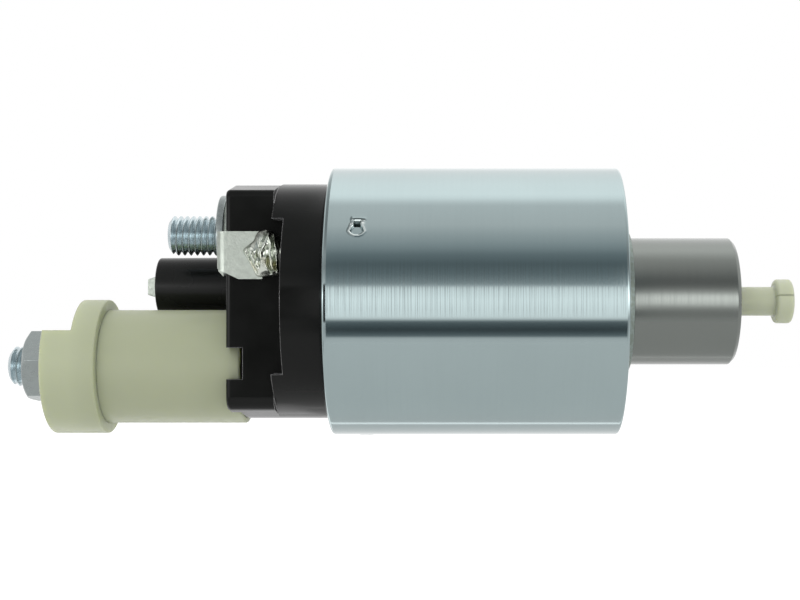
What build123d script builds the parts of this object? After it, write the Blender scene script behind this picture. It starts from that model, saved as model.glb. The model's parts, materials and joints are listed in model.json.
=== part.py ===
"""Starter solenoid with a screwed-on battery post, built as an assembly of separate pieces.

Millimetres. The X axis is the plunger's axis and points out of the case, towards the hook.
The origin is the centre of the case's mounting face, and Z points from the battery stud
towards the motor stud.
"""
from build123d import *
import math
import os

# Fits and clearances
running_gap = 0.07
seat_gap = 0.04
end_play = 0.1
stop_gap = 0.2
air_gap = 0.3

# Plunger
plunger_radius = 12.6
plunger_length = 45.95
plunger_proud = 22.95
plunger_chamfer = 0.8
plunger_nose = 6.0
plunger_stroke = 10.0
return_counterbore_radius = 10.6
return_counterbore_depth = 8.0
drive_bore_radius = 6.5
plug_length = 8.0
plug_inset = 2.0
plug_edge = 0.5

# Hook rod
rod_radius = 2.88
hook_neck_length = 8.55
hook_head_radius = 4.4
hook_head_length = 3.4
hook_head_edge = 0.7
rod_groove_depth = 0.7
rod_groove_width = 0.9
rod_tail = 1.6
rod_edge = 0.4
rod_clip_reach = 1.9
spring_seat_flange = 1.4
spring_seat_hub = 1.5

# Steel case
case_radius = 26.5
case_wall = 2.6
rim_wall = 1.3
case_end_wall = 4.5
case_edge = 0.7
boss_wall = 0.9
boss_flare = 0.2
boss_height = 2.3
boss_edge = 0.4
lip_thickness = 0.7
lip_slope = 1.6
lip_round = 0.4
lip_shoulder_round = 1.2
mount_hole_radius = 2.5
mount_hole_spacing = 40.0
stake_count = 3
stake_angle = 29.0
stake_width = 2.7
stake_neck = 1.6
stake_length = 4.2
stake_depth = 0.9

# Coil
sleeve_wall = 0.5
sleeve_setback = 0.7
bobbin_length = 42.3
bobbin_barrel_wall = 1.0
bobbin_flange = 1.4
pull_in_share = 0.67
wrap_thickness = 0.4
wrap_setback = 0.77

# Magnetic core
core_plate_thickness = 5.0
core_spigot_radius = 9.0
core_spring_bore_radius = 9.2
core_spring_bore_depth = 4.0
core_stop_bore_radius = 6.5
core_stop_bore_depth = 4.0
plate_groove_width = 3.2
plate_groove_depth = 1.1
plate_groove_offset = 0.3

# Terminal cap
cap_setback = 3.2
cap_height = 19.5
cap_edge = 0.8
flat_top = 20.9
flat_bottom = -21.2
flat_top_round = 1.2
flat_bottom_round = 3.0
cap_flange = 3.1
gasket_thickness = 1.0
gasket_width = 3.8
flat_reach = 14.3
flat_length = 9.2
pocket_length = 11.4
pocket_top = 15.3
pocket_bottom = -13.9
chamber_radius = 17.0
chamber_depth = 7.8
head_recess_depth = 3.2
motor_boss_width = 12.8
motor_boss_height = 0.55
motor_boss_corner = 1.5
socket_depth = 2.4
socket_wall_inset = 1.8
spigot_height = 1.8
notch_top = -9.0
notch_bottom = -15.0
notch_depth = 3.2
spring_pocket_radius = 5.0

# Studs, both M8: the crest radius of the free thread, and the pitch radius that the rest has
stud_radius = 3.95
shank_radius = 3.6
stud_chamfer = 0.9
thread_relief = 0.4
motor_z = 13.1
battery_z = -13.0
contact_head_width = 11.0
contact_head_thickness = 4.0
contact_head_edge = 0.5
motor_stud_reach = 13.4
battery_stud_reach = 45.0
seal_section = 1.6

# Motor terminal plate and its washer
plate_thickness = 1.0
plate_eye_radius = 7.4
tab_top = 13.0
tab_bottom = 4.0
tab_length = 8.75
tab_gap = 0.5
tab_bend = 1.6
tab_corner = 1.7
washer_radius = 8.0
washer_thickness = 1.5

# Leads and solder
lead_radius = 0.8
lead_wall = 0.4
pull_in_lead_z = 9.0
ground_lead_radius = 0.5
ground_lead_angle = 205.0
solder_thickness = 2.4
solder_length = 7.0
solder_inset = 0.4

# Signal terminal
signal_y = 10.5
signal_z = 3.1
shroud_radius = 6.0
shroud_draft = 0.15
shroud_wall = 1.25
shroud_length = 17.7
shroud_floor = 2.5
shroud_edge = 0.35
blade_width = 4.8
blade_tip_width = 3.2
blade_thickness = 0.8
blade_proud = 2.6
blade_tip_length = 2.4
blade_root_depth = 4.0
signal_lead_z = 15.7

# Battery post
sleeve_radius = 11.25
post_wall = 2.45
sleeve_end_gap = 0.2
sleeve_length = 27.6
collar_radius = 13.28
collar_length = 4.9
shield_length = 5.6
shield_wall = 2.2
shield_cut_height = 7.3
sleeve_edge = 0.5
collar_edge = 0.3
sleeve_floor = 3.0
bush_radius = 6.5
bush_proud = 4.6
nut_across_flats = 13.0
nut_height = 6.5
nut_chamfer = 0.9
nut_face_inset = 0.2
nut_turn = -10.8

# Contact mechanism
contact_gap = 2.3
free_travel = 7.5
disc_radius = 15.5
disc_thickness = 2.0
disc_edge = 0.3
contact_rod_radius = 2.5
rod_shoulder_radius = 4.4
rod_shoulder_length = 1.2
bush_sleeve_radius = 3.6
bush_flange_radius = 7.0
bush_flange_thickness = 1.2
insulator_washer_thickness = 1.0
clip_radius = 4.6
clip_thickness = 0.8
contact_groove_depth = 0.6
contact_rod_tail = 1.5
contact_rod_edge = 0.6
spring_pocket_length = 8.0

# Springs: wire diameter, mean radius and number of turns
return_wire, return_mean_radius, return_turns = 1.3, 7.9, 6
drive_wire, drive_mean_radius, drive_turns = 1.3, 4.9, 9
contact_wire, contact_mean_radius, contact_turns = 0.8, 4.4, 3
reset_wire, reset_mean_radius, reset_turns = 0.7, 3.6, 5

# The cap sits inside the case's lip
cap_radius = case_radius - cap_setback

# Stations along the axis, from the mounting face to the left
core_plate_x = -(case_end_wall + bobbin_length + 2 * end_play)
core_plate_left_x = core_plate_x - core_plate_thickness
cap_inner_x = core_plate_left_x - gasket_thickness
lip_inner_x = cap_inner_x - cap_flange
case_left_x = lip_inner_x - lip_thickness
cap_left_x = lip_inner_x - cap_height
plunger_inner_x = plunger_proud - plunger_length
core_face_x = plunger_inner_x - plunger_stroke - air_gap
plug_left_x = plunger_inner_x + plug_inset

# Radii that follow from the fits
guide_inner_radius = plunger_radius + running_gap
guide_outer_radius = guide_inner_radius + sleeve_wall
case_bore_radius = guide_outer_radius + seat_gap
boss_radius = case_bore_radius + boss_wall
case_inner_radius = case_radius - case_wall
rim_inner_radius = case_radius - rim_wall
lip_inner_radius = cap_radius + stop_gap
stake_x = core_plate_x - core_plate_thickness / 2 - plate_groove_offset

# Where the two coil leads pass, as (y, z)
tab_outer_y = -(flat_reach + tab_gap + plate_thickness)
pull_in_lead = (tab_outer_y - lead_radius, pull_in_lead_z)
signal_lead = (signal_y, signal_lead_z)
lead_holes = (pull_in_lead, signal_lead)


def turned(points, rounds=()):
    """Solid turned about the X axis from (x, radius) points, with rounds as (point, radius)."""
    profile = make_face(Polyline(*points, close=True))
    for index, radius in rounds:
        corner = profile.vertices().sort_by_distance((*points[index], 0))[0]
        profile = fillet(corner, radius)
    return revolve(profile, axis=Axis.X)


def prism(section, left_x, right_x):
    """Solid with the given section in Y and Z between two stations."""
    return extrude(Plane.YZ.offset(left_x) * section, amount=right_x - left_x)


def bar(radius, left_x, right_x, centre=(0, 0)):
    """Round bar along X about the given centre in Y and Z."""
    return prism(Pos(*centre) * Circle(radius), left_x, right_x)


def ring(outer_radius, inner_radius, left_x, right_x, centre=(0, 0)):
    """Tube or washer along X about the given centre in Y and Z."""
    return prism(Pos(*centre) * (Circle(outer_radius) - Circle(inner_radius)), left_x, right_x)


def box_between(low, high):
    """Box from its low corner to its high corner."""
    size = [top - bottom for bottom, top in zip(low, high)]
    middle = [(top + bottom) / 2 for bottom, top in zip(low, high)]
    return Pos(*middle) * Box(*size)


def retaining_clip(outer_radius, groove_radius, left_x, right_x):
    """Open clip that snaps into a groove, with its mouth upwards."""
    mouth = Pos(0, outer_radius / 2) * Rectangle(groove_radius * 1.7, outer_radius + 1)
    section = Circle(outer_radius) - Circle(groove_radius + seat_gap) - mouth
    return prism(section, left_x, right_x)


def coil_spring(left_x, right_x, wire, mean_radius, turns):
    """Helical spring that seats between two stations."""
    height = right_x - left_x - wire
    path = Helix(pitch=height / turns, height=height, radius=mean_radius)
    section = Plane(origin=path @ 0, z_dir=path % 0) * Circle(wire / 2)
    return Pos(left_x + wire / 2, 0, 0) * Rot(0, 90, 0) * sweep(section, path=path, is_frenet=True)


def stake_outline(grow=0.0):
    """Outline of a stake mark: a narrow neck at the top and a wide rounded foot."""
    half_width = stake_width / 2 + grow
    half_neck = stake_neck / 2 + grow
    half_length = stake_length / 2 + grow
    outline = Polyline(
        (-half_neck, half_length),
        (half_neck, half_length),
        (half_neck, half_length * 0.45),
        (half_width, -half_length * 0.35),
        (half_neck, -half_length),
        (-half_neck, -half_length),
        (-half_width, -half_length * 0.35),
        (-half_neck, half_length * 0.45),
        close=True,
    )
    return make_face(outline)


def stake_planes(radius):
    """One plane per stake, facing outwards at the given radius."""
    planes = []
    for number in range(stake_count):
        angle = math.radians(stake_angle + number * 360 / stake_count)
        outwards = (0, -math.cos(angle), math.sin(angle))
        origin = (stake_x, radius * outwards[1], radius * outwards[2])
        planes.append(Plane(origin=origin, x_dir=(1, 0, 0), z_dir=outwards))
    return planes


def make_case():
    """Drawn steel can: mounting wall, plunger boss, thinned rim and rolled lip."""
    lip_root_x = case_left_x + lip_slope
    points = [
        (boss_height, case_bore_radius),
        (boss_height, boss_radius - boss_flare),
        (0, boss_radius),
        (0, case_radius),
        (lip_root_x, case_radius),
        (case_left_x, lip_inner_radius + lip_thickness),
        (case_left_x, lip_inner_radius),
        (lip_inner_x - stop_gap / 2, lip_inner_radius),
        (lip_root_x + lip_thickness, rim_inner_radius),
        (core_plate_x, rim_inner_radius),
        (core_plate_x, case_inner_radius),
        (-case_end_wall, case_inner_radius),
        (-case_end_wall, case_bore_radius),
    ]
    rounds = ((1, boss_edge), (3, case_edge), (4, lip_shoulder_round), (5, lip_round))
    case = turned(points, rounds)
    for side in (-1, 1):
        hole_centre = (side * mount_hole_spacing / 2, 0)
        case -= bar(mount_hole_radius, -case_end_wall - 1, 1, hole_centre)
    for plane in stake_planes(rim_inner_radius - stake_depth):
        case += extrude(plane * stake_outline(-0.2), amount=stake_depth + rim_wall / 2)
    for plane in stake_planes(case_radius - stake_depth):
        case -= extrude(plane * stake_outline(), amount=2 * stake_depth)
    return case


def make_guide_sleeve():
    """Brass tube that the plunger runs in."""
    return ring(
        guide_outer_radius,
        guide_inner_radius,
        core_plate_x + end_play,
        boss_height - sleeve_setback,
    )


bobbin_left_x = core_plate_x + end_play
bobbin_right_x = -case_end_wall - end_play
winding_left_x = bobbin_left_x + bobbin_flange + end_play
winding_right_x = bobbin_right_x - bobbin_flange - end_play
barrel_inner_radius = guide_outer_radius + seat_gap
barrel_outer_radius = barrel_inner_radius + bobbin_barrel_wall
bobbin_flange_radius = case_inner_radius - stop_gap
wrap_outer_radius = bobbin_flange_radius - wrap_setback
wrap_inner_radius = wrap_outer_radius - wrap_thickness
hold_in_outer_radius = wrap_inner_radius - seat_gap
pull_in_inner_radius = barrel_outer_radius + seat_gap
winding_build = hold_in_outer_radius - seat_gap - pull_in_inner_radius
pull_in_outer_radius = pull_in_inner_radius + pull_in_share * winding_build
hold_in_inner_radius = pull_in_outer_radius + seat_gap
lead_hole_radius = lead_radius + lead_wall + 2 * seat_gap
ground_lead_reach = (hold_in_inner_radius + hold_in_outer_radius) / 2
ground_lead = (
    ground_lead_reach * math.cos(math.radians(ground_lead_angle)),
    ground_lead_reach * math.sin(math.radians(ground_lead_angle)),
)


def make_bobbin():
    """Moulded spool with the lead holes in its left flange."""
    bobbin = ring(barrel_outer_radius, barrel_inner_radius, bobbin_left_x, bobbin_right_x)
    bobbin += ring(
        bobbin_flange_radius, barrel_inner_radius, bobbin_left_x, bobbin_left_x + bobbin_flange
    )
    bobbin += ring(
        bobbin_flange_radius, barrel_inner_radius, bobbin_right_x - bobbin_flange, bobbin_right_x
    )
    for centre in lead_holes:
        bobbin -= bar(lead_hole_radius, bobbin_left_x - 1, winding_left_x, centre)
    bobbin -= bar(ground_lead_radius + seat_gap, bobbin_left_x - 1, winding_left_x, ground_lead)
    return bobbin


def make_winding(inner_radius, outer_radius):
    """Wound copper between the bobbin's flanges, as one solid ring."""
    return ring(outer_radius, inner_radius, winding_left_x, winding_right_x)


def make_core_plate():
    """Steel plate that closes the case, with the groove that the stakes grip."""
    plate = ring(
        rim_inner_radius - seat_gap,
        core_spigot_radius + seat_gap,
        core_plate_left_x,
        core_plate_x - end_play / 2,
    )
    plate -= ring(
        case_radius,
        rim_inner_radius - plate_groove_depth,
        stake_x - plate_groove_width / 2,
        stake_x + plate_groove_width / 2,
    )
    for centre in lead_holes:
        plate -= bar(lead_hole_radius, core_plate_left_x - 1, core_plate_x + 1, centre)
    return plate


def make_fixed_core():
    """Steel core in the guide sleeve's end, riveted into the plate by its spigot."""
    core_radius = guide_inner_radius - seat_gap
    bore_radius = contact_rod_radius + running_gap
    shoulder_x = core_plate_x
    points = [
        (core_face_x, core_spring_bore_radius),
        (core_face_x, core_radius),
        (shoulder_x, core_radius),
        (shoulder_x, core_spigot_radius),
        (core_plate_left_x, core_spigot_radius),
        (core_plate_left_x, core_stop_bore_radius),
        (core_plate_left_x + core_stop_bore_depth, core_stop_bore_radius),
        (core_plate_left_x + core_stop_bore_depth, bore_radius),
        (core_face_x - core_spring_bore_depth, bore_radius),
        (core_face_x - core_spring_bore_depth, core_spring_bore_radius),
    ]
    return turned(points)


def make_cap_gasket():
    """Rubber ring between the core plate and the cap."""
    outer_radius = rim_inner_radius - 2 * seat_gap
    return ring(outer_radius, rim_inner_radius - gasket_width, cap_inner_x, core_plate_left_x)


shoulder_x = cap_left_x + flat_length
pocket_x = cap_left_x + pocket_length
chamber_floor_x = cap_inner_x - chamber_depth
head_seat_x = chamber_floor_x - head_recess_depth
head_face_x = head_seat_x + contact_head_thickness
socket_floor_x = cap_left_x + socket_depth
socket_radius = sleeve_radius + 2 * seat_gap
motor_boss_x = cap_left_x - motor_boss_height
stud_bore_radius = stud_radius + 2 * seat_gap
seal_radius = shank_radius + seal_section / 2
disc_left_x = head_face_x + contact_gap
disc_right_x = disc_left_x + disc_thickness
washer_left_x = disc_left_x - insulator_washer_thickness
clip_left_x = washer_left_x - clip_thickness
contact_rod_left_x = clip_left_x - contact_rod_tail
spring_pocket_x = contact_rod_left_x - spring_pocket_length
bush_bore_radius = bush_radius + seat_gap
post_bore_radius = sleeve_radius - post_wall
signal_root_x = cap_left_x + blade_root_depth
solder_front_x = pocket_x - solder_inset


def end_block_section():
    """Section of the end block: round on the far side, flat with two rounded corners on the near."""
    top_corner = Pos(flat_top_round - flat_reach, flat_top - flat_top_round) * Circle(flat_top_round)
    bottom_centre = Pos(flat_bottom_round - flat_reach, flat_bottom + flat_bottom_round)
    bottom_corner = bottom_centre * Circle(flat_bottom_round)
    near_side = Pos(-flat_reach - cap_radius / 2, 0) * Rectangle(cap_radius, 3 * cap_radius)
    drum = Circle(cap_radius) - near_side
    return make_hull(drum.edges() + top_corner.edges() + bottom_corner.edges())


def cap_outside():
    """The cap's outer form: flange, drum, flat side, pocket and motor boss."""
    flange_radius = rim_inner_radius - 2 * seat_gap
    flange_slope_x = case_left_x + lip_slope + lip_thickness
    drum = turned(
        [
            (cap_inner_x, 0),
            (cap_inner_x, flange_radius),
            (flange_slope_x, flange_radius),
            (lip_inner_x, cap_radius + stop_gap / 2),
            (lip_inner_x, cap_radius),
            (shoulder_x, cap_radius),
            (shoulder_x, 0),
        ]
    )
    end_block = prism(end_block_section(), cap_left_x, shoulder_x)
    end_block = fillet(end_block.faces().sort_by(Axis.X)[0].edges(), cap_edge)
    socket = Pos(0, battery_z) * Circle(socket_radius)
    below_wall = Pos(0, socket_wall_inset - 2 * cap_radius)
    below_wall *= Rectangle(2 * sleeve_radius, 2 * cap_radius)
    end_block -= prism(socket + below_wall, cap_left_x - 1, socket_floor_x)
    pocket = box_between(
        (shoulder_x, -2 * cap_radius, pocket_bottom), (pocket_x, -flat_reach, pocket_top)
    )
    boss_section = Pos(0, motor_z) * RectangleRounded(motor_boss_width, motor_boss_width, motor_boss_corner)
    motor_boss = prism(boss_section, motor_boss_x, cap_left_x + cap_edge)
    return drum + end_block - pocket + motor_boss


def cap_shroud():
    """Round shroud of the signal terminal, with draft on its outside."""
    centre = Pos(signal_y, signal_z)
    foot = Plane.YZ.offset(cap_left_x + cap_edge) * centre * Circle(shroud_radius + shroud_draft)
    rim = Plane.YZ.offset(cap_left_x - shroud_length) * centre * Circle(shroud_radius)
    shroud = loft([foot, rim])
    rim_edge = shroud.faces().sort_by(Axis.X)[0].edges()
    return fillet(rim_edge, shroud_edge)


def blade_outline():
    """Signal blade in X and Z, with its tapered tip and the arm that reaches the coil lead."""
    tip_x = cap_left_x - shroud_length - blade_proud
    half_width = blade_width / 2
    half_tip = blade_tip_width / 2
    arm_left_x = signal_root_x - blade_width / 2
    outline = Polyline(
        (tip_x, signal_z - half_tip),
        (tip_x, signal_z + half_tip),
        (tip_x + blade_tip_length, signal_z + half_width),
        (arm_left_x, signal_z + half_width),
        (arm_left_x, signal_lead_z + half_width / 2),
        (signal_root_x, signal_lead_z + half_width / 2),
        (signal_root_x, signal_z - half_width),
        (tip_x + blade_tip_length, signal_z - half_width),
        close=True,
    )
    return make_face(outline)


def make_signal_blade(grow=0.0):
    """Flat signal blade, moulded into the cap."""
    plane = Plane.XZ.offset(-signal_y)
    return extrude(plane * blade_outline(), amount=blade_thickness / 2 + grow, both=True)


def make_terminal_cap():
    """Moulded cap: drum, contact chamber, post socket, notch and signal shroud."""
    cap = cap_outside() + cap_shroud()
    cap -= bar(chamber_radius, chamber_floor_x, cap_inner_x + 1)
    for z in (motor_z, battery_z):
        width = contact_head_width + 4 * seat_gap
        head_space = Pos(0, z) * Rectangle(width, width)
        cap -= prism(head_space, head_seat_x, cap_inner_x + 1)
        cap -= bar(stud_bore_radius, cap_left_x - 2, head_seat_x + 1, (0, z))
        cap -= bar(seal_radius + seal_section / 2, head_seat_x - seal_section, head_seat_x, (0, z))
    cap -= bar(spring_pocket_radius, spring_pocket_x, chamber_floor_x)
    cap += ring(
        post_bore_radius - 2 * seat_gap,
        bush_bore_radius,
        socket_floor_x - spigot_height,
        socket_floor_x,
        (0, battery_z),
    )
    cap -= box_between(
        (cap_left_x - 1, -cap_radius, notch_bottom),
        (cap_left_x + notch_depth, -sleeve_radius * 0.75, notch_top),
    )
    shroud_bore_radius = shroud_radius - shroud_wall
    shroud_floor_x = cap_left_x - shroud_floor
    shroud_centre = (signal_y, signal_z)
    cap -= bar(shroud_bore_radius, cap_left_x - shroud_length - 1, shroud_floor_x, shroud_centre)
    for centre, end_x in ((pull_in_lead, pocket_x - 1), (signal_lead, signal_root_x)):
        cap -= bar(lead_radius + seat_gap, end_x, cap_inner_x + 1, centre)
    return cap - make_signal_blade()


def make_stud(z, free_x, end_x):
    """M8 contact stud: square head in the chamber, shank through the cap, free thread from free_x."""
    thread_x = free_x - thread_relief
    shank = turned(
        [
            (head_seat_x, 0),
            (head_seat_x, shank_radius),
            (thread_x, shank_radius),
            (thread_x, stud_radius),
            (end_x + stud_chamfer, stud_radius),
            (end_x, stud_radius - stud_chamfer),
            (end_x, 0),
        ]
    )
    head = prism(Rectangle(contact_head_width, contact_head_width), head_seat_x, head_face_x)
    head = chamfer(head.faces().sort_by(Axis.X)[-1].edges(), contact_head_edge)
    return Pos(0, 0, z) * (shank + head)


def make_stud_seals():
    """The two rubber rings under the contact heads."""
    section = Pos(head_seat_x - seal_section / 2, seal_radius) * Circle(seal_section / 2 - seat_gap)
    seal = revolve(section, axis=Axis.X)
    return [Pos(0, 0, z) * seal for z in (motor_z, battery_z)]


plate_left_x = motor_boss_x - plate_thickness
motor_washer_x = plate_left_x - washer_thickness
tab_inner_y = -(flat_reach + tab_gap)


def make_motor_terminal_plate():
    """Pressed strip: an eye on the motor stud and a tab bent over the cap's flat side."""
    strip_bottom = tab_bottom + tab_corner
    strip_middle_z = (tab_top + strip_bottom) / 2
    eye = Pos(0, motor_z) * Circle(plate_eye_radius)
    strip = Pos(tab_inner_y / 2, strip_middle_z) * Rectangle(-tab_inner_y, tab_top - strip_bottom)
    hole = Pos(0, motor_z) * Circle(stud_bore_radius)
    plate = prism(eye + strip - hole, plate_left_x, motor_boss_x)
    plate -= box_between(
        (plate_left_x - 1, tab_outer_y - 1, tab_bottom - 1),
        (motor_boss_x + 1, tab_inner_y + tab_bend, tab_top + 1),
    )
    bend_centre = (motor_boss_x + tab_bend - plate_thickness, tab_inner_y + tab_bend - plate_thickness)
    inner_radius = tab_bend - plate_thickness
    bend = Circle(tab_bend) - Circle(inner_radius)
    bend &= Pos(-tab_bend / 2, -tab_bend / 2) * Rectangle(tab_bend, tab_bend)
    tab_right_x = plate_left_x + tab_length
    flat_arm = Pos((bend_centre[0] + tab_right_x) / 2, (tab_outer_y + tab_inner_y) / 2)
    flat_arm *= Rectangle(tab_right_x - bend_centre[0], plate_thickness)
    side_arm = Pos((plate_left_x + motor_boss_x) / 2, bend_centre[1] + tab_bend / 2)
    side_arm *= Rectangle(plate_thickness, tab_bend)
    profile = Pos(*bend_centre) * bend + flat_arm + side_arm
    tab = extrude(Plane.XY.offset(tab_bottom) * profile, amount=tab_top - tab_bottom)
    corner = Polyline(
        (plate_left_x - 1, tab_bottom - 1),
        (plate_left_x + 2.5 * tab_corner, tab_bottom),
        (plate_left_x + 0.6, tab_bottom + tab_corner),
        (plate_left_x - 1, tab_bottom + tab_corner + 1),
        close=True,
    )
    corner_plane = Plane.XZ.offset(-tab_outer_y - plate_thickness - tab_bend)
    corner_cut = extrude(corner_plane * make_face(corner), amount=2 * tab_bend + plate_thickness)
    return plate + tab - corner_cut


def make_solder_joint():
    """Solder that joins the coil lead to the motor terminal's tab."""
    left_x = solder_front_x - solder_length
    low = tab_bottom + 0.3
    outline = Polyline(
        (left_x, pull_in_lead_z + 0.6),
        (left_x + 2.1, tab_top - 0.2),
        (solder_front_x - 2.9, tab_top + 0.3),
        (solder_front_x - 0.4, tab_top - 1.3),
        (solder_front_x, pull_in_lead_z + 0.6),
        (solder_front_x - 0.2, low + 1.2),
        (solder_front_x - 1.0, low),
        (solder_front_x - 3.9, low),
        (left_x + 1.5, low + 2.3),
        close=True,
    )
    foot = Plane.XZ.offset(-tab_outer_y) * make_face(outline)
    blob = extrude(foot, amount=solder_thickness, taper=32)
    return blob - bar(lead_radius + seat_gap, left_x, solder_front_x + 1, pull_in_lead)


def make_lead(centre, end_x):
    """Coil lead from the winding through the plate and the cap."""
    return bar(lead_radius, end_x, winding_left_x, centre)


def make_lead_insulators():
    """The two insulating tubes on the leads, where they pass the core plate."""
    return [
        ring(
            lead_radius + lead_wall,
            lead_radius + seat_gap / 2,
            cap_inner_x + end_play,
            winding_left_x - end_play,
            centre,
        )
        for centre in lead_holes
    ]


sleeve_right_x = socket_floor_x - sleeve_end_gap
collar_right_x = sleeve_right_x - sleeve_length
collar_left_x = collar_right_x - collar_length
shield_left_x = collar_left_x - shield_length
bush_left_x = collar_left_x - bush_proud
nut_left_x = bush_left_x - nut_height


def make_insulating_sleeve():
    """Nylon sleeve of the battery post: tube, collar and the lower half shield round the nut."""
    body = turned(
        [
            (sleeve_right_x, post_bore_radius),
            (sleeve_right_x, sleeve_radius),
            (collar_right_x, sleeve_radius),
            (collar_right_x, collar_radius),
            (shield_left_x, collar_radius),
            (shield_left_x, collar_radius - shield_wall),
            (collar_left_x, collar_radius - shield_wall),
            (collar_left_x, bush_bore_radius),
            (collar_left_x + sleeve_floor, bush_bore_radius),
            (collar_left_x + sleeve_floor, post_bore_radius),
        ],
        ((1, sleeve_edge), (3, collar_edge), (4, collar_edge)),
    )
    body -= box_between(
        (shield_left_x - 1, -2 * collar_radius, shield_cut_height),
        (collar_left_x, 2 * collar_radius, 2 * collar_radius),
    )
    return Pos(0, 0, battery_z) * body


def make_battery_bush():
    """Steel spacer that carries the nut's clamp load past the nylon."""
    return ring(bush_radius, stud_bore_radius, bush_left_x, socket_floor_x, (0, battery_z))


def make_battery_nut():
    """M8 hexagon nut with both faces chamfered."""
    corner_radius = nut_across_flats / math.sqrt(3)
    face_radius = nut_across_flats / 2 - nut_face_inset
    hexagon = RegularPolygon(
        radius=nut_across_flats / 2, side_count=6, major_radius=False, rotation=nut_turn
    )
    blank = prism(hexagon - Circle(shank_radius + seat_gap), nut_left_x, bush_left_x)
    envelope = turned(
        [
            (bush_left_x, 0),
            (bush_left_x, face_radius),
            (bush_left_x - nut_chamfer, corner_radius),
            (nut_left_x + nut_chamfer, corner_radius),
            (nut_left_x, face_radius),
            (nut_left_x, 0),
        ]
    )
    return Pos(0, 0, battery_z) * (blank & envelope)


drive_bore_end_x = plunger_proud - plunger_nose
counterbore_floor_x = plunger_inner_x + return_counterbore_depth
plug_right_x = plug_left_x + plug_length


def make_plunger():
    """Turned steel plunger, bored for the drive spring and counterbored for the return spring."""
    points = [
        (plunger_proud, rod_radius + running_gap),
        (plunger_proud, plunger_radius - plunger_chamfer),
        (plunger_proud - plunger_chamfer, plunger_radius),
        (plunger_inner_x + plunger_chamfer / 2, plunger_radius),
        (plunger_inner_x, plunger_radius - plunger_chamfer / 2),
        (plunger_inner_x, return_counterbore_radius),
        (counterbore_floor_x, return_counterbore_radius),
        (counterbore_floor_x, drive_bore_radius),
        (drive_bore_end_x, drive_bore_radius),
        (drive_bore_end_x, rod_radius + running_gap),
    ]
    return turned(points)


def make_plunger_plug():
    """Steel plug that closes the drive bore and strikes the contact rod."""
    plug_radius = drive_bore_radius - seat_gap
    points = [
        (plug_right_x, 0),
        (plug_right_x, plug_radius),
        (plug_left_x + plug_edge, plug_radius),
        (plug_left_x, plug_radius - plug_edge),
        (plug_left_x, 0),
    ]
    return turned(points)


rod_left_x = plug_right_x + stop_gap
rod_groove_left_x = rod_left_x + rod_tail
rod_groove_right_x = rod_groove_left_x + rod_groove_width
drive_seat_right_x = rod_groove_right_x + spring_seat_flange
hook_head_x = plunger_proud + hook_neck_length
hook_head_end_x = hook_head_x + hook_head_length


def make_hook_rod():
    """Nylon pull rod with the disc head that the shift lever's fork grips."""
    groove_radius = rod_radius - rod_groove_depth
    points = [
        (rod_left_x, 0),
        (rod_left_x, rod_radius - rod_edge),
        (rod_left_x + rod_edge, rod_radius),
        (rod_groove_left_x, rod_radius),
        (rod_groove_left_x, groove_radius),
        (rod_groove_right_x, groove_radius),
        (rod_groove_right_x, rod_radius),
        (hook_head_x, rod_radius),
        (hook_head_x, hook_head_radius),
        (hook_head_end_x, hook_head_radius),
        (hook_head_end_x, 0),
    ]
    return turned(points, ((7, rod_edge), (8, hook_head_edge), (9, hook_head_edge)))


def make_rod_clip():
    """Clip in the hook rod's groove that carries the spring seat."""
    return retaining_clip(
        rod_radius + rod_clip_reach,
        rod_radius - rod_groove_depth,
        rod_groove_left_x + end_play / 2,
        rod_groove_right_x - end_play / 2,
    )


def make_drive_spring_seat():
    """Flanged steel washer between the clip and the drive spring."""
    flange_radius = drive_bore_radius - stop_gap
    hub_radius = drive_mean_radius - drive_wire / 2 - stop_gap / 2
    bore_radius = rod_radius + seat_gap
    flange_right_x = drive_seat_right_x
    points = [
        (rod_groove_right_x, bore_radius),
        (rod_groove_right_x, flange_radius),
        (flange_right_x, flange_radius),
        (flange_right_x, hub_radius),
        (flange_right_x + spring_seat_hub, hub_radius),
        (flange_right_x + spring_seat_hub, bore_radius),
    ]
    return turned(points)


shoulder_right_x = core_plate_left_x + core_stop_bore_depth - stop_gap
shoulder_left_x = shoulder_right_x - rod_shoulder_length
contact_rod_right_x = plug_left_x - free_travel - stop_gap
contact_groove_radius = contact_rod_radius - contact_groove_depth


def make_contact_rod():
    """Contact rod: slides in the fixed core and carries the contact disc."""
    points = [
        (contact_rod_right_x, 0),
        (contact_rod_right_x, contact_rod_radius),
        (shoulder_right_x, contact_rod_radius),
        (shoulder_right_x, rod_shoulder_radius),
        (shoulder_left_x, rod_shoulder_radius),
        (shoulder_left_x, contact_rod_radius),
        (washer_left_x, contact_rod_radius),
        (washer_left_x, contact_groove_radius),
        (clip_left_x, contact_groove_radius),
        (clip_left_x, contact_rod_radius),
        (contact_rod_left_x, contact_rod_radius),
        (contact_rod_left_x, 0),
    ]
    return turned(points, ((1, contact_rod_edge),))


def make_contact_clip():
    """Clip at the end of the contact rod."""
    return retaining_clip(clip_radius, contact_groove_radius, clip_left_x, washer_left_x)


def make_contact_disc():
    """Copper disc that bridges the two contact heads."""
    bore_radius = bush_sleeve_radius + seat_gap
    points = [
        (disc_left_x, bore_radius),
        (disc_left_x, disc_radius - disc_edge),
        (disc_left_x + disc_edge, disc_radius),
        (disc_right_x - disc_edge, disc_radius),
        (disc_right_x, disc_radius - disc_edge),
        (disc_right_x, bore_radius),
    ]
    return turned(points)


def make_disc_bush():
    """Flanged insulating bush between the disc and the contact rod."""
    bore_radius = contact_rod_radius + running_gap
    points = [
        (disc_left_x + end_play, bore_radius),
        (disc_left_x + end_play, bush_sleeve_radius),
        (disc_right_x, bush_sleeve_radius),
        (disc_right_x, bush_flange_radius),
        (disc_right_x + bush_flange_thickness, bush_flange_radius),
        (disc_right_x + bush_flange_thickness, bore_radius),
    ]
    return turned(points)


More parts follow.
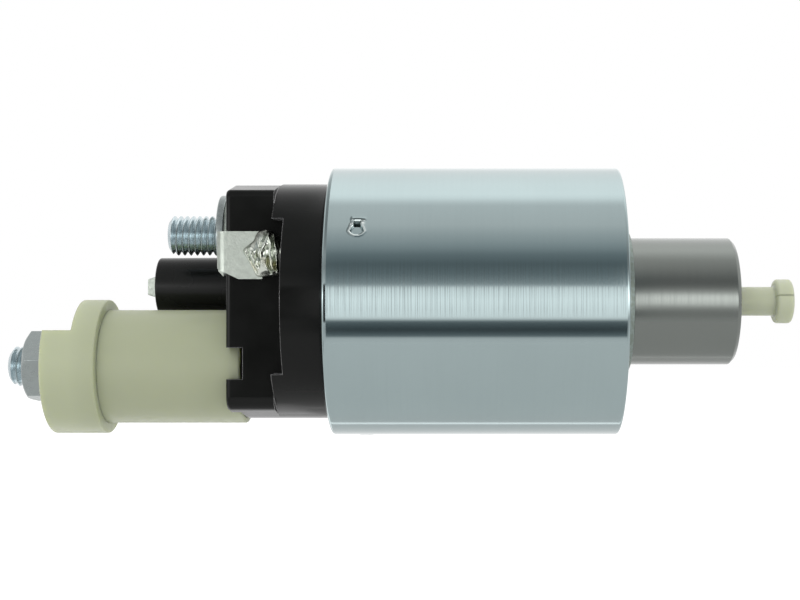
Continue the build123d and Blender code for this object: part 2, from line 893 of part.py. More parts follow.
def make_disc_washer():
    """Insulating washer on the other side of the disc."""
    bore_radius = contact_rod_radius + running_gap
    return ring(bush_flange_radius, bore_radius, washer_left_x, disc_left_x)


core_spring_floor_x = core_face_x - core_spring_bore_depth
bush_flange_right_x = disc_right_x + bush_flange_thickness

parts = {
    "case": make_case(),
    "guide_sleeve": make_guide_sleeve(),
    "bobbin": make_bobbin(),
    "pull_in_winding": make_winding(pull_in_inner_radius, pull_in_outer_radius),
    "hold_in_winding": make_winding(hold_in_inner_radius, hold_in_outer_radius),
    "winding_wrap": make_winding(wrap_inner_radius, wrap_outer_radius),
    "core_plate": make_core_plate(),
    "fixed_core": make_fixed_core(),
    "cap_gasket": make_cap_gasket(),
    "terminal_cap": make_terminal_cap(),
    "motor_stud": make_stud(motor_z, motor_washer_x, cap_left_x - motor_stud_reach),
    "battery_stud": make_stud(battery_z, nut_left_x, cap_left_x - battery_stud_reach),
    "stud_seals": make_stud_seals(),
    "motor_terminal_plate": make_motor_terminal_plate(),
    "motor_washer": ring(
        washer_radius, stud_bore_radius, motor_washer_x, plate_left_x, (0, motor_z)
    ),
    "solder_joint": make_solder_joint(),
    "pull_in_lead": make_lead(pull_in_lead, solder_front_x - 4.0),
    "signal_lead": make_lead(signal_lead, signal_root_x),
    "ground_lead": bar(ground_lead_radius, core_plate_x, winding_left_x, ground_lead),
    "lead_insulators": make_lead_insulators(),
    "signal_blade": make_signal_blade(),
    "insulating_sleeve": make_insulating_sleeve(),
    "battery_bush": make_battery_bush(),
    "battery_nut": make_battery_nut(),
    "plunger": make_plunger(),
    "plunger_plug": make_plunger_plug(),
    "return_spring": coil_spring(
        core_spring_floor_x, counterbore_floor_x, return_wire, return_mean_radius, return_turns
    ),
    "hook_rod": make_hook_rod(),
    "rod_clip": make_rod_clip(),
    "drive_spring_seat": make_drive_spring_seat(),
    "drive_spring": coil_spring(
        drive_seat_right_x, drive_bore_end_x, drive_wire, drive_mean_radius, drive_turns
    ),
    "contact_rod": make_contact_rod(),
    "contact_clip": make_contact_clip(),
    "contact_disc": make_contact_disc(),
    "disc_bush": make_disc_bush(),
    "disc_washer": make_disc_washer(),
    "contact_spring": coil_spring(
        bush_flange_right_x, shoulder_left_x, contact_wire, contact_mean_radius, contact_turns
    ),
    "contact_return_spring": coil_spring(
        spring_pocket_x, clip_left_x, reset_wire, reset_mean_radius, reset_turns
    ),
}

os.makedirs("parts", exist_ok=True)
for name, shape in parts.items():
    piece = Compound(children=shape) if isinstance(shape, list) else shape
    export_step(piece, f"parts/{name}.step")
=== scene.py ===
"""Looks of the starter solenoid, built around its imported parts.

The frame is the part's own: X is the plunger's axis and points out of the case, Z is up and the
camera looks along +Y. Sizes are in millimetres and become metres when a mesh is made.
"""
import json
import math

import bmesh
import bpy
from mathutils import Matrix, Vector, noise
from mathutils.geometry import delaunay_2d_cdt


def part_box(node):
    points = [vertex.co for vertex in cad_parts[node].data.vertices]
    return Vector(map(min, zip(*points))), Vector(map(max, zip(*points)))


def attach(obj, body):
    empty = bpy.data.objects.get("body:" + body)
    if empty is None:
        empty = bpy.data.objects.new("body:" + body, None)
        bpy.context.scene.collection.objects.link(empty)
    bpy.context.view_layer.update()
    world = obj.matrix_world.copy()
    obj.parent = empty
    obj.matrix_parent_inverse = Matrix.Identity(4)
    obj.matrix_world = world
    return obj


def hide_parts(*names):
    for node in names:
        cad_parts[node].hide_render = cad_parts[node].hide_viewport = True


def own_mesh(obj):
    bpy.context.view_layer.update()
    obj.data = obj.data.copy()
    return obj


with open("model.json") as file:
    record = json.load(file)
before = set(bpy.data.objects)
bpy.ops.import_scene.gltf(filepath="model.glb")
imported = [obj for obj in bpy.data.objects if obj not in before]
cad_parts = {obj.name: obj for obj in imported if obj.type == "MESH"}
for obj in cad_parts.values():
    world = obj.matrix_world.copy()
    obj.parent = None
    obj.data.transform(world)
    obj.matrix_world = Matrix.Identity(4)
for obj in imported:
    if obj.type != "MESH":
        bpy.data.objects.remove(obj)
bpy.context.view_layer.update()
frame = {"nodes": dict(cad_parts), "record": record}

MM = 0.001
UP_FRONT = math.radians(29.0)

# Camera, in millimetres and pixels
camera_distance = 280.0
camera_x = -29.29
camera_z = -3.737
focal_pixels = 1400.0
sensor_width = 36.0
image_width = 800.0
image_height = 600.0
axis_column = 469.4
axis_row = 320.0

# Studio, in metres and degrees
floor_z = -0.12
floor_half_width = 3.0
tent_radius = 0.2
key_place = (-0.25, -0.55, 0.75)
key_aim = (-0.04, 0.0, 0.0)
key_size = 0.6
key_power = 1.6
world_level = 0.8
floor_glow = 0.5
floor_glow_mirrored = 0.22


def millimetres(node):
    """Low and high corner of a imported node, in millimetres."""
    low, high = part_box(node)
    return low / MM, high / MM


case_low, case_high = millimetres("case")
plate_low, plate_high = millimetres("core_plate")
hook_low, hook_high = millimetres("hook_rod")
solder_low, solder_high = millimetres("solder_joint")
plunger_high = millimetres("plunger")[1]
sleeve_high = millimetres("guide_sleeve")[1]
tab_low = millimetres("motor_terminal_plate")[0]
slot_of_node = {row["node"]: row["material_slot"] for row in frame["record"]["subparts"]}


# Mesh helpers


def full_turn(count, fine_centres=(), fine_half=0.0, fine_step=1.0):
    """Angles round the X axis, with finer steps round the given centres."""
    angles = {round(math.tau * index / count, 6) for index in range(count)}
    reach = fine_half + fine_step
    steps = int(fine_half / fine_step)
    for centre in fine_centres:
        angles = {angle for angle in angles if abs(math.remainder(angle - centre, math.tau)) > reach}
        for step in range(-steps, steps + 1):
            angles.add(round((centre + step * fine_step) % math.tau, 6))
    return sorted(angles)


def rounded_outline(corners, steps=5):
    """Closed outline of (x, radius) points from (x, radius, rounding) corners."""
    points = []
    count = len(corners)
    for index, (x, radius, rounding) in enumerate(corners):
        corner = Vector((x, radius))
        if rounding == 0:
            points.append(corner)
            continue
        before = (Vector(corners[index - 1][:2]) - corner).normalized()
        after = (Vector(corners[(index + 1) % count][:2]) - corner).normalized()
        half = before.angle(after) / 2
        centre = corner + (before + after).normalized() * (rounding / math.sin(half))
        start = (corner + before * (rounding / math.tan(half)) - centre).normalized()
        end = (corner + after * (rounding / math.tan(half)) - centre).normalized()
        points += [centre + start.slerp(end, step / steps) * rounding for step in range(steps + 1)]
    return points


def new_vert(mesh, x, y, z):
    """Adds a vertex at a place in millimetres."""
    return mesh.verts.new((x * MM, y * MM, z * MM))


def join_loops(mesh, near, far):
    """Adds the faces between two closed loops of vertices, either of which may be a tip."""
    for side in range(len(near)):
        after = (side + 1) % len(near)
        corners = list(dict.fromkeys([near[side], near[after], far[after], far[side]]))
        if len(corners) > 2:
            mesh.faces.new(corners)


def add_turned(mesh, outline, angles, centre_z=0.0, relief=None):
    """Adds a closed outline turned about X; relief(x, radius, angle) raises or sinks the surface."""
    rings = []
    for x, radius in outline:
        if radius < 1e-6:
            rings.append([new_vert(mesh, x, 0.0, centre_z)] * len(angles))
            continue
        ring = []
        for angle in angles:
            reach = radius + (relief(x, radius, angle) if relief else 0.0)
            ring.append(new_vert(mesh, x, -reach * math.cos(angle), centre_z + reach * math.sin(angle)))
        rings.append(ring)
    for index, ring in enumerate(rings):
        join_loops(mesh, ring, rings[(index + 1) % len(rings)])


def as_data(name, mesh):
    """Smooth mesh data of an edited mesh, which is freed."""
    for face in mesh.faces:
        face.smooth = True
    data = bpy.data.meshes.new(name)
    mesh.to_mesh(data)
    mesh.free()
    return data


def put_in_scene(name, data):
    """Makes the object of some data."""
    thing = bpy.data.objects.new(name, data)
    bpy.context.scene.collection.objects.link(thing)
    return thing


def as_rider(name, data, body, node):
    """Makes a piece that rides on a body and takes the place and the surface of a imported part."""
    slot = slot_of_node[node]
    data.materials.clear()
    data.materials.append(surfaces[slot])
    piece = put_in_scene(name, data)
    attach(piece, body)
    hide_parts(node)
    return piece


def as_piece(name, mesh, body, node, sharp_angle):
    """Makes the piece of a mesh, with smooth shading apart from its sharp edges."""
    bmesh.ops.remove_doubles(mesh, verts=mesh.verts, dist=1e-7)
    bmesh.ops.dissolve_degenerate(mesh, dist=1e-8, edges=mesh.edges)
    bmesh.ops.recalc_face_normals(mesh, faces=mesh.faces)
    limit = math.radians(sharp_angle)
    for edge in mesh.edges:
        edge.smooth = edge.calc_face_angle(0.0) < limit
    as_rider(name, as_data(name, mesh), body, node)


# Surfaces

even = (1.0, 1.0, 1.0)
# Spans in metres over which a surface changes: the scuffed band of the case fades in and out over
# the first two in Z, the others are in X
scuff_low = (-0.0034, -0.0018)
scuff_high = (0.0048, 0.0075)
boss_span = (-0.0001, 0.0003)
cap_end_span = (-0.0785, -0.0775)
# Painted glow: nylon left of this span is painted lighter, as light shining through its thin wall
painted_glow_span = (-0.106, -0.1)
rod_span = (-0.02, 0.0)


def fill(node, inputs):
    """Gives inputs of a node their numbers, colours, vectors or other nodes' outputs."""
    for name, value in inputs.items():
        socket = node.inputs[name]
        if isinstance(value, bpy.types.NodeSocket):
            node.id_data.links.new(value, socket)
        elif isinstance(value, tuple):
            socket.default_value = (*value, 1.0)[: len(socket.default_value)]
        else:
            socket.default_value = value


def set_all(thing, settings):
    """Gives a thing its named settings."""
    for name, value in settings.items():
        setattr(thing, name, value)


def new_node(tree, kind, inputs, **settings):
    """Shader node with its settings and inputs."""
    node = tree.nodes.new("ShaderNode" + kind)
    set_all(node, settings)
    fill(node, inputs)
    return node


def dressed(material, inputs):
    """The material with inputs of its Principled shader filled."""
    fill(material.node_tree.nodes["Principled BSDF"], inputs)
    return material


def new_surface(name, colour, metallic=0.0, roughness=0.5):
    """Material with even values, and its node tree."""
    material = bpy.data.materials.new(name)
    material.use_nodes = True
    inputs = {"Base Color": colour, "Metallic": metallic, "Roughness": roughness}
    return dressed(material, inputs), material.node_tree


def object_place(tree):
    """Coordinates of the object, in metres."""
    return new_node(tree, "TexCoord", {}).outputs["Object"]


def noise_value(tree, scale, detail=3.0, stretch=even, distortion=0.0):
    """Noise from 0 to 1 over coordinates that are stretched first."""
    mapping = new_node(tree, "Mapping", {"Vector": object_place(tree), "Scale": stretch})
    inputs = {"Scale": scale, "Detail": detail, "Distortion": distortion}
    texture = new_node(tree, "TexNoise", inputs | {"Vector": mapping.outputs["Vector"]})
    return texture.outputs["Fac"]


def remapped(value, low, high, from_low=0.3, from_high=0.7):
    """The value's middle range spread over low to high."""
    inputs = {"Value": value, "From Min": from_low, "From Max": from_high, "To Min": low, "To Max": high}
    return new_node(value.id_data, "MapRange", inputs).outputs["Result"]


def along_axis(tree, axis, low, high, span):
    """Value that goes from low to high over a span of an axis."""
    split = new_node(tree, "SeparateXYZ", {"Vector": object_place(tree)})
    return remapped(split.outputs[axis], low, high, *span)


def result_of(operation, *values):
    """Result of a sum over values or value sockets, the first of them a socket."""
    node = new_node(values[0].id_data, "Math", dict(enumerate(values)), operation=operation)
    return node.outputs["Value"]


def scaled(first, second):
    """Product of two values or value sockets."""
    return result_of("MULTIPLY", first, second)


def rounded_normal(tree, width, samples):
    """Normal of a surface with its edges rounded by a width in millimetres."""
    return new_node(tree, "Bevel", {"Radius": width * MM}, samples=samples).outputs["Normal"]


def edge_mask(tree, width, weak=0.03, strong=0.25):
    """1 along the edges of a piece, where a rounded normal leaves the real one."""
    real = new_node(tree, "NewGeometry", {}).outputs["Normal"]
    normals = {0: rounded_normal(tree, width, 6), 1: real}
    product = new_node(tree, "VectorMath", normals, operation="DOT_PRODUCT")
    return remapped(product.outputs["Value"], 1.0, 0.0, 1 - strong, 1 - weak)


def kept_share(tree, name):
    """Share that a mesh keeps on its vertices."""
    return new_node(tree, "Attribute", {}, attribute_name=name).outputs["Fac"]


def mixed_colour(factor, first, second):
    """Colour between two colours or colour sockets."""
    inputs = {"Factor": factor, 6: first, 7: second}
    return new_node(factor.id_data, "Mix", inputs, data_type="RGBA").outputs[2]


def shaded(colour, factor):
    """Colour made darker or lighter."""
    return tuple(min(1.0, part * factor) for part in colour)


def mottled(factor, colour, tone):
    """Colour that wanders between a darker and a lighter tone."""
    return mixed_colour(factor, shaded(colour, 1 - tone), shaded(colour, 1 + tone))


def bumped(height, depth, strength=1.0, **below):
    """Normal with a bump of the given depth in millimetres, on top of an earlier one."""
    inputs = {"Strength": strength, "Distance": depth * MM, "Height": height, **below}
    return new_node(height.id_data, "Bump", inputs).outputs["Normal"]


def worked_metal(name, colour, roughness, tone=0.06, patch=180.0, grain=900.0, stretch=even, depth=0.004):
    """Metal with mottled colour, uneven roughness and a fine grain."""
    spread = 0.06
    material, tree = new_surface(name, colour, metallic=1.0, roughness=roughness)
    patches = noise_value(tree, patch, detail=4.0)
    fine = noise_value(tree, grain, detail=4.0, stretch=stretch)
    inputs = {
        "Base Color": mottled(patches, colour, tone),
        "Roughness": remapped(fine, roughness - spread, roughness + spread),
        "Normal": bumped(fine, depth),
    }
    return dressed(material, inputs)


def turned_steel(name, colour, roughness, lines, streak):
    """Lathe-turned metal: fine rings round the X axis, plainer outside its scuffed middle."""
    faint_share = 0.1
    faint_shade = 0.86
    groove_depth = 0.0007
    material, tree = new_surface(name, colour, metallic=1.0, roughness=roughness)
    tangent = new_node(tree, "Tangent", {}, direction_type="RADIAL", axis="X")
    clouds = noise_value(tree, 90.0, stretch=(1.0, 0.6, 0.6))
    rings = noise_value(tree, lines, detail=5.0, stretch=(1.0, 0.012, 0.012))
    above = along_axis(tree, "Z", 0.0, 1.0, scuff_low)
    below = along_axis(tree, "Z", 1.0, 0.0, scuff_high)
    patches = remapped(noise_value(tree, 60.0), 0.6, 1.0)
    scuffed = scaled(scaled(above, below), patches)
    bright_rings = remapped(rings, 0.0, 1.0, 0.45, 0.68)
    streaks = scaled(bright_rings, scuffed)
    plain = mottled(clouds, colour, 0.035)
    faint = mixed_colour(scaled(bright_rings, faint_share), plain, shaded(colour, faint_shade))
    inputs = {
        "Base Color": mixed_colour(streaks, faint, shaded(colour, 1 - 2 * streak)),
        "Roughness": result_of("ADD", scaled(streaks, streak), roughness),
        "Anisotropic": 0.5,
        "Tangent": tangent.outputs["Tangent"],
        "Normal": bumped(rings, groove_depth, remapped(scuffed, 0.35, 1.0, 0.0, 1.0)),
    }
    return dressed(material, inputs)


def dull_boss_and_paint_stake_light(material):
    """Leaves the boss unpolished, and paints highlights on the rims and shade in the depths of the stake
    marks.
    """
    added_roughness = 0.3
    tree = material.node_tree
    sockets = tree.nodes["Principled BSDF"].inputs
    colour, roughness = (sockets[name].links[0].from_socket for name in ("Base Color", "Roughness"))
    bare = along_axis(tree, "X", 0.0, 1.0, boss_span)
    specks = remapped(noise_value(tree, 1500.0, detail=4.0), 0.6, 0.85, 0.4, 0.6)
    colour = mixed_colour(scaled(bare, specks), colour, boss_colour)
    # Painted highlight on the stake rims and knobs, painted shade in their recesses and lines
    for name, tint in (("painted_highlight", stake_highlight_colour), ("painted_shade", stake_shade_colour)):
        colour = mixed_colour(kept_share(tree, name), colour, tint)
    roughness = result_of("ADD", roughness, scaled(bare, added_roughness))
    dressed(material, {"Base Color": colour, "Roughness": roughness})


def glossy_cap(name, colour):
    """Glossy black moulding: a deep face, worn shiny edges and a faint moulding skin."""
    material, tree = new_surface(name, colour, roughness=0.16)
    clouds = noise_value(tree, 140.0, detail=4.0)
    dulled = along_axis(tree, "X", 0.1, 0.0, cap_end_span)
    satin = along_axis(tree, "X", 0.22, 0.15, cap_end_span)
    edges = edge_mask(tree, 0.3)
    peel = noise_value(tree, 900.0)
    inputs = {
        "Base Color": mottled(clouds, colour, 0.15),
        "Roughness": result_of("ADD", remapped(clouds, 0.13, 0.2), dulled),
        "Specular IOR Level": result_of("MAXIMUM", edges, satin),
        "IOR": remapped(edges, 1.5, 2.3, 0.0, 1.0),
        "Normal": bumped(peel, 0.002, Normal=rounded_normal(tree, 0.25, 8)),
    }
    return dressed(material, inputs)


def moulded_plastic(name, colour, roughness, specular=0.5, depth=0.004):
    """Moulded plastic with a faint orange peel and slightly uneven gloss."""
    material, tree = new_surface(name, colour, roughness=roughness)
    clouds = noise_value(tree, 120.0)
    inputs = {
        "Base Color": mottled(clouds, colour, 0.1),
        "Roughness": remapped(clouds, roughness * 0.85, roughness * 1.15),
        "Specular IOR Level": specular,
        "Normal": bumped(noise_value(tree, 1400.0, detail=2.0), depth),
    }
    return dressed(material, inputs)


def natural_nylon(name, colour, rod_colour, glow):
    """Natural nylon, which lets light in, with faint flow clouds, a painted glow on its thin-walled left
    end and painted grey shade along its edges.
    """
    material, tree = new_surface(name, colour, roughness=0.38)
    clouds = noise_value(tree, 55.0, detail=2.0, distortion=0.6)
    clouded = mixed_colour(clouds, shaded(colour, 0.92), shaded(colour, 1.06))
    # Painted glow: the thin-walled left end is painted lighter, as if lit through
    painted_glow = along_axis(tree, "X", 1.0, 0.0, painted_glow_span)
    lighter = mixed_colour(painted_glow, clouded, shaded(colour, 1.13))
    rod_share = along_axis(tree, "X", 0.0, 1.0, rod_span)
    pale = mixed_colour(rod_share, lighter, rod_colour)
    # Painted shade: the edges of the nylon are painted darker grey
    rim = remapped(edge_mask(tree, 0.4, 0.004, 0.05), 0.0, 0.6, 0.0, 1.0)
    specks = noise_value(tree, 700.0)
    inputs = {
        "Base Color": mixed_colour(rim, pale, shaded(colour, 0.45)),
        "Roughness": remapped(specks, 0.32, 0.46),
        "Subsurface Weight": 0.7,
        "Subsurface Radius": (1.0, 1.0, 0.6),
        "Subsurface Scale": glow * MM,
        "Specular IOR Level": 0.2,
        "Normal": bumped(specks, 0.006),
    }
    return dressed(material, inputs)


def bright_solder(name):
    """Solder: bright ridges, a dull straw tint in the hollows and dark flux."""
    silver = (0.58, 0.61, 0.55)
    straw = (0.5, 0.47, 0.32)
    flux = (0.06, 0.055, 0.045)
    material, tree = new_surface(name, silver, metallic=1.0, roughness=0.2)
    folds = noise_value(tree, 420.0, detail=4.0, stretch=(1.0, 1.0, 0.45), distortion=0.8)
    tint = noise_value(tree, 230.0, detail=2.0)
    metal = mixed_colour(remapped(tint, 0.0, 0.7, 0.5, 0.75), silver, straw)
    curls = noise_value(tree, 900.0, distortion=2.5)
    streaks = scaled(kept_share(tree, "residue"), remapped(curls, 0.45, 1.0))
    inputs = {
        "Base Color": mixed_colour(streaks, metal, flux),
        "Roughness": remapped(folds, 0.3, 0.1),
        "Normal": bumped(folds, 0.05),
    }
    return dressed(material, inputs)


zinc_colour = (0.33, 0.4, 0.405)
boss_colour = (0.16, 0.185, 0.155)
# Painted highlight and painted shade of the stake marks
stake_highlight_colour = (0.8, 0.86, 0.84)
stake_shade_colour = (0.08, 0.1, 0.095)
surfaces = {
    "case_steel": turned_steel("case_steel", zinc_colour, 0.08, 3400.0, 0.16),
    "plunger_steel": turned_steel("plunger_steel", (0.18, 0.194, 0.182), 0.185, 4200.0, 0.03),
    "core_steel": worked_metal("core_steel", (0.3, 0.3, 0.29), 0.38),
    "brass": worked_metal("brass", (0.62, 0.45, 0.2), 0.3),
    "bobbin_plastic": moulded_plastic("bobbin_plastic", (0.03, 0.03, 0.034), 0.55),
    "winding_copper": worked_metal(
        "winding_copper", (0.48, 0.2, 0.09), 0.32, grain=1300.0, stretch=(1.0, 0.03, 0.03), depth=0.06
    ),
    "wrap_paper": moulded_plastic("wrap_paper", (0.5, 0.42, 0.26), 0.8, specular=0.2, depth=0.02),
    "seal_rubber": moulded_plastic("seal_rubber", (0.012, 0.012, 0.012), 0.75, specular=0.3, depth=0.01),
    "cap_phenolic": glossy_cap("cap_phenolic", (0.0075, 0.008, 0.0075)),
    "stud_steel": worked_metal("stud_steel", (0.5, 0.575, 0.6), 0.24, tone=0.16, grain=1500.0, depth=0.03),
    "terminal_plate": worked_metal(
        "terminal_plate", (0.47, 0.51, 0.46), 0.36, tone=0.22, patch=1300.0, grain=2200.0, depth=0.06
    ),
    "zinc_steel": worked_metal("zinc_steel", (0.34, 0.375, 0.37), 0.3, tone=0.07, depth=0.005),
    "solder": bright_solder("solder"),
    "nylon": natural_nylon("nylon", (0.475, 0.51, 0.355), (0.57, 0.605, 0.455), 2.6),
    "spring_steel": worked_metal("spring_steel", (0.28, 0.28, 0.29), 0.34),
    "contact_copper": worked_metal("contact_copper", (0.68, 0.34, 0.2), 0.26),
}

# Unpolished boss, with painted highlight and painted shade on the stake marks
dull_boss_and_paint_stake_light(surfaces["case_steel"])


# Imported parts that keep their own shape


def soften_edges(piece, width):
    """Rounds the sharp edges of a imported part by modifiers, its mesh left as it is."""
    weld = piece.modifiers.new("Weld", "WELD")
    weld.merge_threshold = 1e-6
    bevel = piece.modifiers.new("Bevel", "BEVEL")
    shape = {"limit_method": "ANGLE", "angle_limit": math.radians(32.0), "width": width * MM, "segments": 3}
    set_all(bevel, shape | {"use_clamp_overlap": True, "harden_normals": False})
    weighted = piece.modifiers.new("Weighted", "WEIGHTED_NORMAL")
    set_all(weighted, {"weight": 50, "keep_sharp": False})


edge_widths = {
    "insulating_sleeve": 0.18,
    "motor_washer": 0.22,
    "battery_nut": 0.2,
    "battery_bush": 0.15,
    "signal_blade": 0.1,
    "contact_disc": 0.15,
    "plunger": 0.12,
}

for node, piece in frame["nodes"].items():
    piece.data.materials.clear()
    piece.data.materials.append(surfaces[slot_of_node[node]])
    if node in edge_widths:
        soften_edges(piece, edge_widths[node])


# Springs, copied onto the bodies they ride on


def shorten_spring(node, body):
    """Replaces a spring with a copy that rides on a body."""
    piece = as_rider(node + "_coil", frame["nodes"][node].data.copy(), body, node)
    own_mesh(piece)


shorten_spring("return_spring", "housing")
shorten_spring("drive_spring", "plunger")
shorten_spring("contact_return_spring", "housing")
shorten_spring("contact_spring", "contact_rod")


# Terminal cap with the top of its end block planed, and the terminal plate with its cut corner

block_end_x = -66.4
block_top_z = 22.62
block_cut_width = 0.35
block_corner_rise = 0.2
block_corner_y = -11.0
block_corner_z = 19.0
block_corner_height = 1.5
cut_margin = 0.01
tab_cut_x = 0.5
tab_cut_z = 1.05


def copied_mesh(node):
    """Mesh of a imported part, and the layer that keeps its own normals on each face corner."""
    source = frame["nodes"][node].data
    mesh = bmesh.new()
    mesh.from_mesh(source)
    kept = mesh.loops.layers.float_vector.new("kept_normal")
    corners = [loop for face in mesh.faces for loop in face.loops]
    for loop, normal in zip(corners, source.corner_normals):
        loop[kept] = normal.vector
    return mesh, kept


def as_copy(name, mesh, kept, node):
    """Makes the piece of a changed copy, with the normals that were kept."""
    normals = [loop[kept].normalized() for face in mesh.faces for loop in face.loops]
    data = as_data(name, mesh)
    data.normals_split_custom_set(normals)
    as_rider(name, data, "housing", node)


def split_at(mesh, faces, place, normal, cleared=False):
    """Cuts faces along a plane, in millimetres, and clears what lies beyond it where asked."""
    parts = set(faces)
    for face in faces:
        parts.update(face.edges)
        parts.update(face.verts)
    return bmesh.ops.bisect_plane(
        mesh,
        geom=list(parts),
        plane_co=Vector(place) * MM,
        plane_no=Vector(normal).normalized(),
        dist=1e-7,
        clear_outer=cleared,
    )


def make_cap():
    """The moulding as packed, apart from the top of its end block."""
    mesh, kept = copied_mesh("terminal_cap")
    for x in (block_end_x, block_end_x + block_cut_width):
        split_at(mesh, mesh.faces[:], (x, 0, 0), (1, 0, 0))
    limit = (block_end_x + cut_margin) * MM
    top = block_top_z * MM
    block = [face for face in mesh.faces if all(vert.co.x < limit for vert in face.verts)]
    split_at(mesh, block, (0, 0, block_top_z), (0, 0, 1))
    for face in mesh.faces:
        planed = all(vert.co.x < limit and vert.co.z > top - 1e-7 for vert in face.verts)
        for loop in face.loops:
            if planed and loop[kept].z > 0.5:
                loop[kept] = Vector((0.0, 0.0, 1.0))
    for vert in mesh.verts:
        if vert.co.x > limit:
            continue
        above = vert.co.z / MM - block_corner_z
        if vert.co.y / MM < block_corner_y and above > 0:
            vert.co.z += block_corner_rise * MM * min(1.0, above / block_corner_height)
        vert.co.z = min(vert.co.z, top)
    as_copy("terminal_cap_moulding", mesh, kept, "terminal_cap")


def make_terminal_plate():
    """The plate as packed, with the lower corner of its bend cut at a slant."""
    mesh, kept = copied_mesh("motor_terminal_plate")
    slant = Vector((-1.0, 0.0, -1.0))
    corner = (tab_low.x + tab_cut_x, 0.0, tab_low.z + tab_cut_z)
    cut = split_at(mesh, mesh.faces[:], corner, slant, cleared=True)
    rim = [part for part in cut["geom_cut"] if isinstance(part, bmesh.types.BMEdge)]
    for face in bmesh.ops.holes_fill(mesh, edges=rim)["faces"]:
        for loop in face.loops:
            loop[kept] = slant.normalized()
    as_copy("terminal_plate_blank", mesh, kept, "motor_terminal_plate")


make_cap()
make_terminal_plate()


# Steel case with its stake marks

case_radius = case_high.z
boss_bore_radius = sleeve_high.z + 0.04
rim_inner_radius = plate_high.z + 0.04
stake_x = (plate_low.x + plate_high.x) / 2 - 0.42
stake_count = 3
stake_angles = [UP_FRONT + math.tau * index / stake_count for index in range(stake_count)]
stake_shelf_depth = 0.3
stake_floor_depth = 0.45
stake_deep = 1.3
stake_knobs = ((-1.0, 1.2), (1.02, 1.45))
stake_wall = 0.36
stake_shear_y = 1.75
stake_deep_x = -0.05
stake_deep_y = 1.35
stake_deep_half_x = 0.62
stake_deep_half_y = 0.38
stake_reach_x = 2.6
stake_reach_y = 3.0
# Lines across the top of a mark, painted as shade with a painted highlight just below, as (height, half
# length)
stake_shade_lines = ((2.48, 1.5), (1.98, 1.1))
stake_outline = (
    (-0.85, 2.4), (1.4, 2.4), (0.8, 1.75), (0.62, 1.25), (1.15, 0.55), (1.42, -0.3), (0.95, -0.85),
    (0.4, -1.12), (-0.35, -1.1), (-1.0, -0.78), (-1.42, -0.28), (-1.1, 0.65), (-0.65, 1.2),
    (-0.7, 1.75),
)


def inside_distance(point, outline):
    """Distance from a point to the outline, positive inside it."""
    nearest = 1e9
    inside = False
    for index, start in enumerate(outline):
        end = outline[(index + 1) % len(outline)]
        along = Vector(end) - Vector(start)
        offset = point - Vector(start)
        share = max(0.0, min(1.0, offset.dot(along) / along.length_squared))
        nearest = min(nearest, (offset - along * share).length)
        if (start[1] > point.y) != (end[1] > point.y):
            crossing = (end[0] - start[0]) * (point.y - start[1]) / (end[1] - start[1]) + start[0]
            if point.x < crossing:
                inside = not inside
    return nearest if inside else -nearest


def smooth_step(value):
    """Smooth rise from 0 to 1."""
    value = max(0.0, min(1.0, value))
    return value * value * (3 - 2 * value)


def stake_place(x, angle):
    """Place beside the nearest stake mark, or None away from all of them."""
    for stake_angle in stake_angles:
        arc = math.remainder(angle - stake_angle, math.tau) * case_radius
        point = Vector((x - stake_x, arc))
        if abs(point.x) < stake_reach_x and abs(point.y) < stake_reach_y:
            return point
    return None


def hill(distance, width):
    """Bell curve, 1 at no distance."""
    return math.exp(-((distance / width) ** 2))


def deep_share(point):
    """1 in the punched recess of a mark."""
    aside = (point.x - stake_deep_x) / stake_deep_half_x
    above = (point.y - stake_deep_y) / stake_deep_half_y
    return math.exp(-(aside**4) - above**4)


def knob_hills(point, width):
    """Bell curve round each of the raised knobs beside a mark."""
    return [hill((point - Vector(knob)).length, width) for knob in stake_knobs]


def stake_relief(x, radius, angle):
    """Depth of the nearest stake mark, with the raised burr round its rim."""
    shear_blend = 0.1
    fold_height = 0.16
    fold_y = 2.2
    fold_width = 0.14
    burr_height = 0.08
    burr_offset = 0.14
    burr_width = 0.2
    knob_height = 0.07
    knob_width = 0.3
    point = stake_place(x, angle)
    if radius < case_radius - 0.01 or point is None:
        return 0.0
    inset = inside_distance(point, stake_outline)
    floor = stake_floor_depth + (stake_deep - stake_floor_depth) * deep_share(point)
    shear = smooth_step((point.y - stake_shear_y + shear_blend) / (2 * shear_blend))
    floor += (stake_shelf_depth - floor) * shear
    fold = fold_height * hill(point.y - fold_y, fold_width) * shear
    sunk = (fold - floor) * smooth_step(inset / stake_wall)
    burr = burr_height * hill(inset + burr_offset, burr_width)
    return sunk + burr + knob_height * sum(knob_hills(point, knob_width))


def stake_painted_light(point):
    """Shares of painted highlight and of painted shade at a place in a stake mark."""
    rim_offset = 0.08
    rim_width = 0.16
    rim_top_y = 1.5
    rim_fade = 0.6
    shade_line_width = 0.12
    shade_line_sag = 0.13
    highlight_line_width = 0.1
    highlight_line_drop = 0.25
    inset = inside_distance(point, stake_outline)
    # Painted highlight along the lower rim and on the raised knobs
    rim = hill(inset + rim_offset, rim_width) * smooth_step((rim_top_y - point.y) / rim_fade)
    painted_highlight = max(rim, 1.2 * max(knob_hills(point, 0.32)))
    # Painted shade in the punched recess and along the lines across the top, with a painted highlight just
    # below each line
    painted_shade = deep_share(point)
    for height, half_length in stake_shade_lines:
        above = point.y - (height - shade_line_sag * point.x * point.x)
        along = smooth_step((half_length - abs(point.x - 0.2)) / 0.3)
        painted_shade = max(painted_shade, hill(above, shade_line_width) * along)
        painted_highlight = max(painted_highlight, 0.8 * hill(above + highlight_line_drop, highlight_line_width) * along)
    return min(1.0, painted_highlight), min(1.0, painted_shade)


